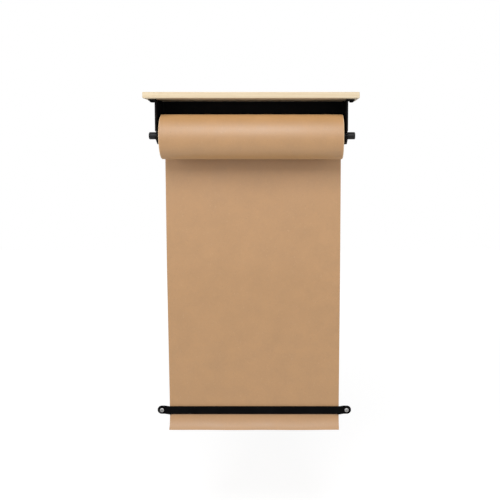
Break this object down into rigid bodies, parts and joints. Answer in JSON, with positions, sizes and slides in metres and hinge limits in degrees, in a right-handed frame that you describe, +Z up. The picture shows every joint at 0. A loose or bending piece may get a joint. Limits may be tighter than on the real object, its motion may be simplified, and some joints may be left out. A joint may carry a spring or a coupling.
{
  "type": "gift wrap paper cutter",
  "caption": "Wall-mounted gift wrap cutter: a steel bracket under a wooden shelf carries a kraft paper roll on a lift-out rod, and a flat bar below holds and tears the sheet.",
  "frame": {"origin": "centre of the four wall holes, in the plane of the wall", "axes": "+X to the right as a user faces it, +Y into the wall, +Z up"},
  "size_m": [0.348, 0.1155, 0.585],
  "materials": {
    "bracket_coating": "fine matt black powder coat",
    "bar_coating": "matt black powder coat, worn on the tearing edge",
    "rod_coating": "satin black",
    "shelf_screw_coating": "black oxide",
    "zinc_steel": "bright zinc plate",
    "shelf_wood": "pale wood with a thin matt oil",
    "core_board": "spiral wound board",
    "kraft_paper": "natural kraft, slightly calendered"
  },
  "bodies": {
    "wall_frame": {"wall_bracket": "bracket_coating", "shelf_board": "shelf_wood", "shelf_screw_left_front": "shelf_screw_coating", "shelf_screw_left_rear": "shelf_screw_coating", "shelf_screw_right_front": "shelf_screw_coating", "shelf_screw_right_rear": "shelf_screw_coating", "tear_bar": "bar_coating", "bar_screw_left": "zinc_steel", "bar_screw_right": "zinc_steel"},
    "rod": {"roll_rod": "rod_coating", "rod_cap_left": "rod_coating", "rod_cap_right": "rod_coating"},
    "roll": {"paper_roll": "kraft_paper", "core_tube": "core_board"},
    "sheet": {"paper_sheet": "kraft_paper"}
  },
  "joints": [
    {"name": "rod_withdraw", "type": "slide", "parent": "wall_frame", "child": "rod", "axis": [0, -0.9903, 0.1392], "range_m": [0, 0.09]},
    {"name": "roll_spin", "type": "hinge", "parent": "rod", "child": "roll", "pos_m": [0, -0.05, -0.0159], "axis": [-1, 0, 0], "range_deg": [-20, 360]},
    {"name": "paper_feed", "type": "slide", "parent": "wall_frame", "child": "sheet", "axis": [0, 0, -1], "range_m": [-0.013, 0.232], "deforming": ["paper_sheet"]}
  ],
  "couplings": [
    {"joint": "paper_feed", "follows": "roll_spin", "m_per_rad": 0.0368}
  ]
}
